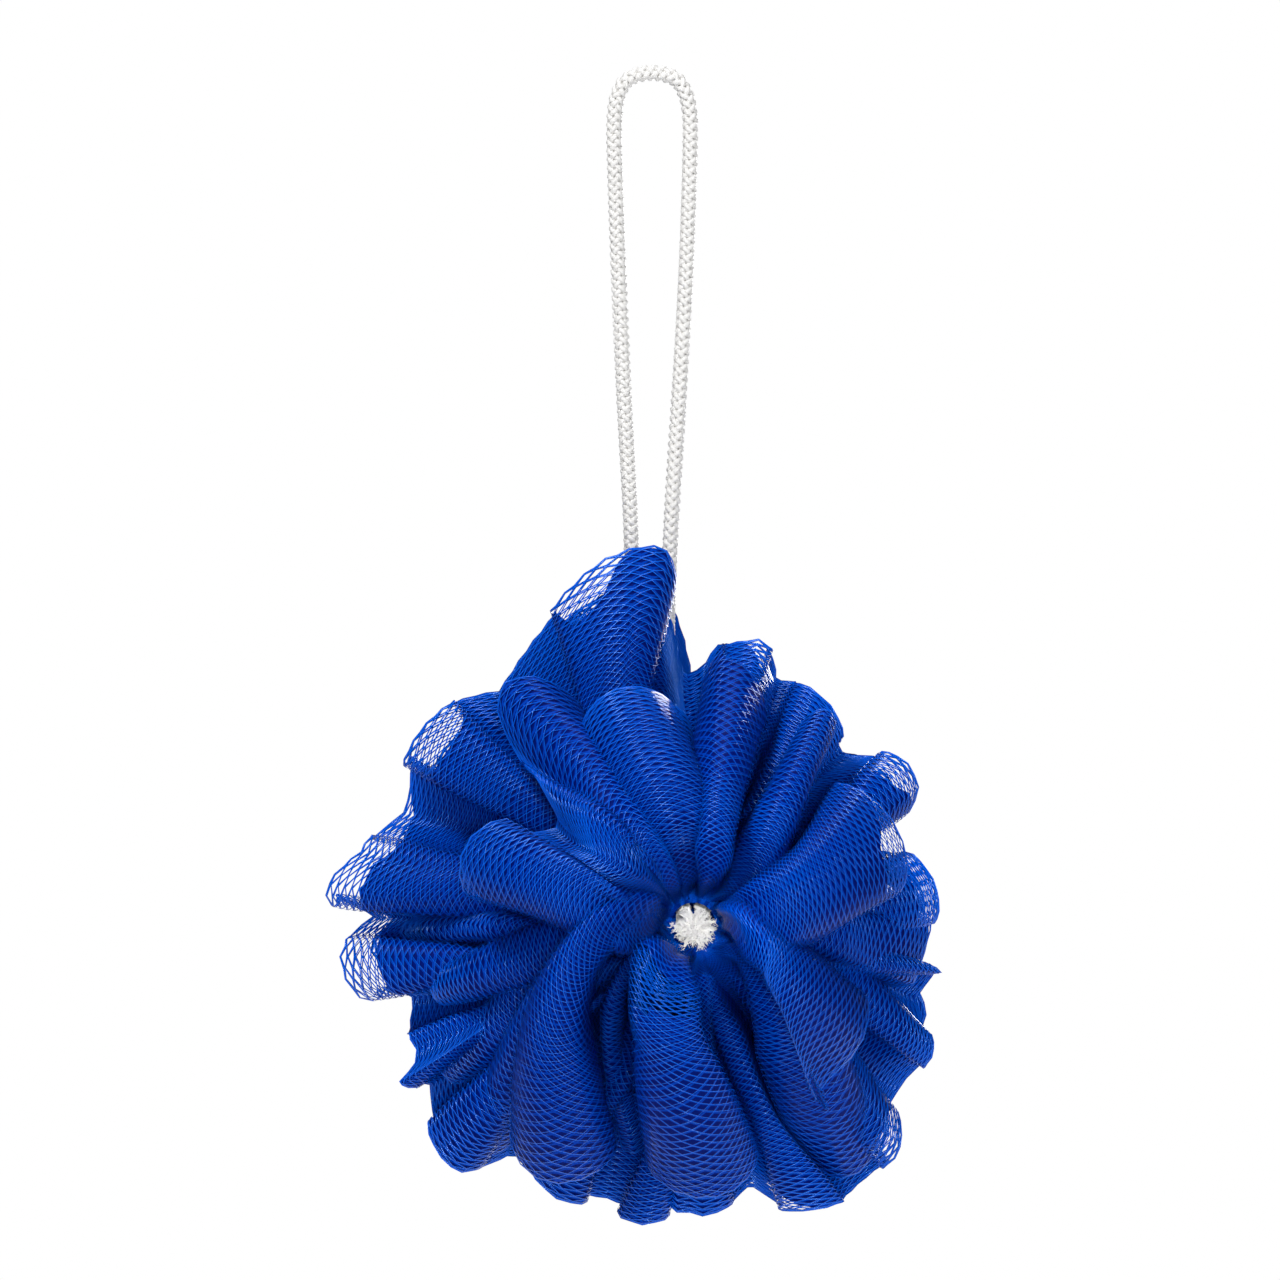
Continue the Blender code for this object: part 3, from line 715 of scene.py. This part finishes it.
def make_knot(material):
    """Cut yarn ends that stand out of the knot all round, each with a few short fibres at its tip."""
    random = np.random.default_rng(KNOT_SEED)
    centre = np.array((CORE_X, CORD_ROUTE[0][1] - SEAT_GAP, CORE_Z))
    size = np.array((KNOT_WIDTH / 2, KNOT_DEPTH, KNOT_WIDTH / 2))
    turn = np.arange(KNOT_TIPS) * np.pi * (3 - np.sqrt(5)) + random.normal(0, TIP_SCATTER, KNOT_TIPS)
    out = (np.arange(KNOT_TIPS) + 0.5) / KNOT_TIPS
    forward = -np.sqrt(1 - TIP_SPREAD * out)
    heads = np.stack([np.cos(turn) * np.sqrt(out), forward, np.sin(turn) * np.sqrt(out)], 1)
    long = random.uniform(*TIP_END, (KNOT_TIPS, 1))
    roots = centre + heads * size * TIP_START
    tips = centre + heads * size * long
    steps = len(TIP_SWELL)
    t = np.linspace(0, 1, steps)[None, :, None]
    paths = roots[:, None] + (tips - roots)[:, None] * t
    paths += random.normal(0, TIP_STRAY, paths.shape) * t
    swell = np.array(TIP_SWELL)[None, :, None] * random.uniform(*TIP_FULLNESS, (KNOT_TIPS, steps, 1))
    stubs = make_stubs("stubs", paths, TIP_WIDTH / 2 * swell, TIP_SIDES)
    starts = tips[:, None] + random.normal(0, FIBRE_SCATTER, (KNOT_TIPS, TIP_FIBRES, 3))
    heading = unit(unit(heads)[:, None] + random.normal(0, FIBRE_SPREAD, (KNOT_TIPS, TIP_FIBRES, 3)))
    curl = random.normal(0, FIBRE_CURL, heading.shape)
    reach = random.uniform(*FIBRE_REACH, (KNOT_TIPS, TIP_FIBRES, 1, 1))
    t = np.linspace(0, 1, FIBRE_STEPS)[None, None, :, None]
    paths = starts[:, :, None] + reach * (heading[:, :, None] * t + curl[:, :, None] * t * t)
    taper = (FIBRE_WIDTH / 2 * np.linspace(1, FIBRE_POINT, FIBRE_STEPS))[None, :, None]
    fibres = make_stubs("fibres", paths.reshape(-1, FIBRE_STEPS, 3), taper, FIBRE_SIDES)
    bpy.ops.object.select_all(action="DESELECT")
    for item in (stubs, fibres):
        item.data.materials.append(material)
        item.select_set(True)
    bpy.context.view_layer.objects.active = stubs
    bpy.ops.object.join()
    knot = stubs
    knot.name = knot.data.name = "frayed_knot"
    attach(knot, "root")
    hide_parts("cord_knot")
    return knot


def plain(name, colour, roughness, **inputs):
    """A plain material. Inputs name further sockets of its shader, in lower case."""
    material = bpy.data.materials.new(name)
    material.use_nodes = True
    shader = material.node_tree.nodes["Principled BSDF"]
    shader.inputs["Base Color"].default_value = (*colour, 1.0)
    shader.inputs["Roughness"].default_value = roughness
    for key, value in inputs.items():
        shader.inputs[key.replace("_", " ").title().replace("Ior", "IOR")].default_value = value
    return material


def calculated(tree, operation, first, second):
    """The output of a new maths node. Its second input is an output or a number."""
    node = tree.nodes.new("ShaderNodeMath")
    node.operation = operation
    tree.links.new(first, node.inputs[0])
    if isinstance(second, float):
        node.inputs[1].default_value = second
    else:
        tree.links.new(second, node.inputs[1])
    return node.outputs[0]


def show_strands(material, colour):
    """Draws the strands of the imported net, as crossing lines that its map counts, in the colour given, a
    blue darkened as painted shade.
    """
    tree = material.node_tree
    place = tree.nodes.new("ShaderNodeUVMap")
    place.uv_map = "cells"
    parts = tree.nodes.new("ShaderNodeSeparateXYZ")
    tree.links.new(place.outputs["UV"], parts.inputs[0])
    lines = []
    for way in ("ADD", "SUBTRACT"):
        along = calculated(tree, way, parts.outputs[0], parts.outputs[1])
        away = calculated(tree, "PINGPONG", along, 0.5)
        lines.append(calculated(tree, "LESS_THAN", away, PACKED_STRAND))
    mix = tree.nodes.new("ShaderNodeMix")
    mix.data_type = "RGBA"
    base = tree.nodes["Principled BSDF"].inputs["Base Color"]
    mix.inputs["A"].default_value = base.default_value
    mix.inputs["B"].default_value = (*colour, 1.0)
    tree.links.new(calculated(tree, "MAXIMUM", *lines), mix.inputs["Factor"])
    tree.links.new(mix.outputs["Result"], base)


def place_lamp(data, place, target):
    """Puts a lamp in the scene, aimed at the target."""
    lamp = bpy.data.objects.new(data.name, data)
    lamp.location = place
    lamp.rotation_euler = (Vector(target) - Vector(place)).to_track_quat("-Z", "Y").to_euler()
    bpy.context.scene.collection.objects.link(lamp)


def add_light(name, place, size, power):
    """A round soft lamp, aimed at the netting."""
    data = bpy.data.lights.new(name, "AREA")
    data.shape = "DISK"
    data.size = size
    data.energy = power
    place_lamp(data, place, LAMP_TARGET)


def white_to_camera(tree, surface, out, white_kind):
    """The camera sees plain white where the stage is, and the light on the object stays as it is."""
    path = tree.nodes.new("ShaderNodeLightPath")
    white = tree.nodes.new(white_kind)
    white.inputs[0].default_value = (1, 1, 1, 1)
    mix = tree.nodes.new("ShaderNodeMixShader")
    tree.links.new(path.outputs["Is Camera Ray"], mix.inputs[0])
    tree.links.new(tree.nodes[surface].outputs[0], mix.inputs[1])
    tree.links.new(white.outputs[0], mix.inputs[2])
    tree.links.new(mix.outputs[0], tree.nodes[out].inputs[0])


def add_knot_lamp():
    """A narrow lamp from the camera's side, which lights the knot in its hollow as the photo does."""
    data = bpy.data.lights.new("knot lamp", "SPOT")
    data.spot_size = math.radians(KNOT_LAMP_ANGLE)
    data.spot_blend = KNOT_LAMP_BLEND
    data.shadow_soft_size = KNOT_LAMP_SIZE
    data.energy = KNOT_LAMP_POWER
    place_lamp(data, KNOT_LAMP_PLACE, (CORE_X, CORD_ROUTE[0][1], CORE_Z))


def set_stage():
    """The floor, the lamps, the soft light all round and the camera."""
    floor_material = plain("floor", FLOOR_GREY, roughness=0.6)
    white_to_camera(floor_material.node_tree, "Principled BSDF", "Material Output", "ShaderNodeEmission")
    bpy.ops.mesh.primitive_plane_add(size=FLOOR_SIZE, location=(0, 0, FLOOR_HEIGHT))
    floor = bpy.context.object
    floor.name = "floor"
    floor.data.materials.append(floor_material)
    world = bpy.data.worlds.new("studio")
    bpy.context.scene.world = world
    world.use_nodes = True
    soft = world.node_tree.nodes["Background"]
    soft.inputs[0].default_value = SOFT_COLOUR
    soft.inputs[1].default_value = SOFT_LIGHT
    white_to_camera(world.node_tree, "Background", "World Output", "ShaderNodeBackground")
    for lamp in LAMPS:
        add_light(*lamp)
    add_knot_lamp()
    camera = bpy.data.cameras.new("camera")
    camera.lens = camera.sensor_width * CAMERA_DISTANCE / FRAME_WIDTH
    camera.clip_end = CLIP_END
    view = bpy.data.objects.new("camera", camera)
    view.location = (FRAME_CENTRE[0], -CAMERA_DISTANCE, FRAME_CENTRE[2])
    view.rotation_euler = (math.pi / 2, 0, 0)
    bpy.context.scene.collection.objects.link(view)
    bpy.context.scene.camera = view
    bpy.context.scene.view_settings.view_transform = "Standard"


def main():
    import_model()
    strand = plain("net strands", NET_BLUE, roughness=0.20, specular_ior_level=0.60, specular_tint=NET_SHINE)
    # The packed net's material, with its drawn strands, is painted shade: darker copies of the strands' blue.
    packed = plain("packed net painted shade", PACKED_PAINTED_SHADE_BLUE, roughness=0.5, specular_ior_level=0.07, specular_tint=NET_SHINE)
    show_strands(packed, PACKED_STRAND_PAINTED_SHADE_BLUE)
    white = plain("cord", CORD_WHITE, roughness=0.45)
    # The filling's grey is painted shade in the braid's grooves.
    groove_painted_shade = plain("cord filling painted shade", GROOVE_PAINTED_SHADE_GREY, roughness=0.7)
    # The knot's white, lighter than the cord's, is painted light.
    frayed = plain("frayed", FRAYED_PAINTED_LIGHT_WHITE, roughness=0.7)
    make_netting(strand, packed)
    cord, path, length = make_cord(white, groove_painted_shade)
    knot = make_knot(frayed)
    set_stage()


main()
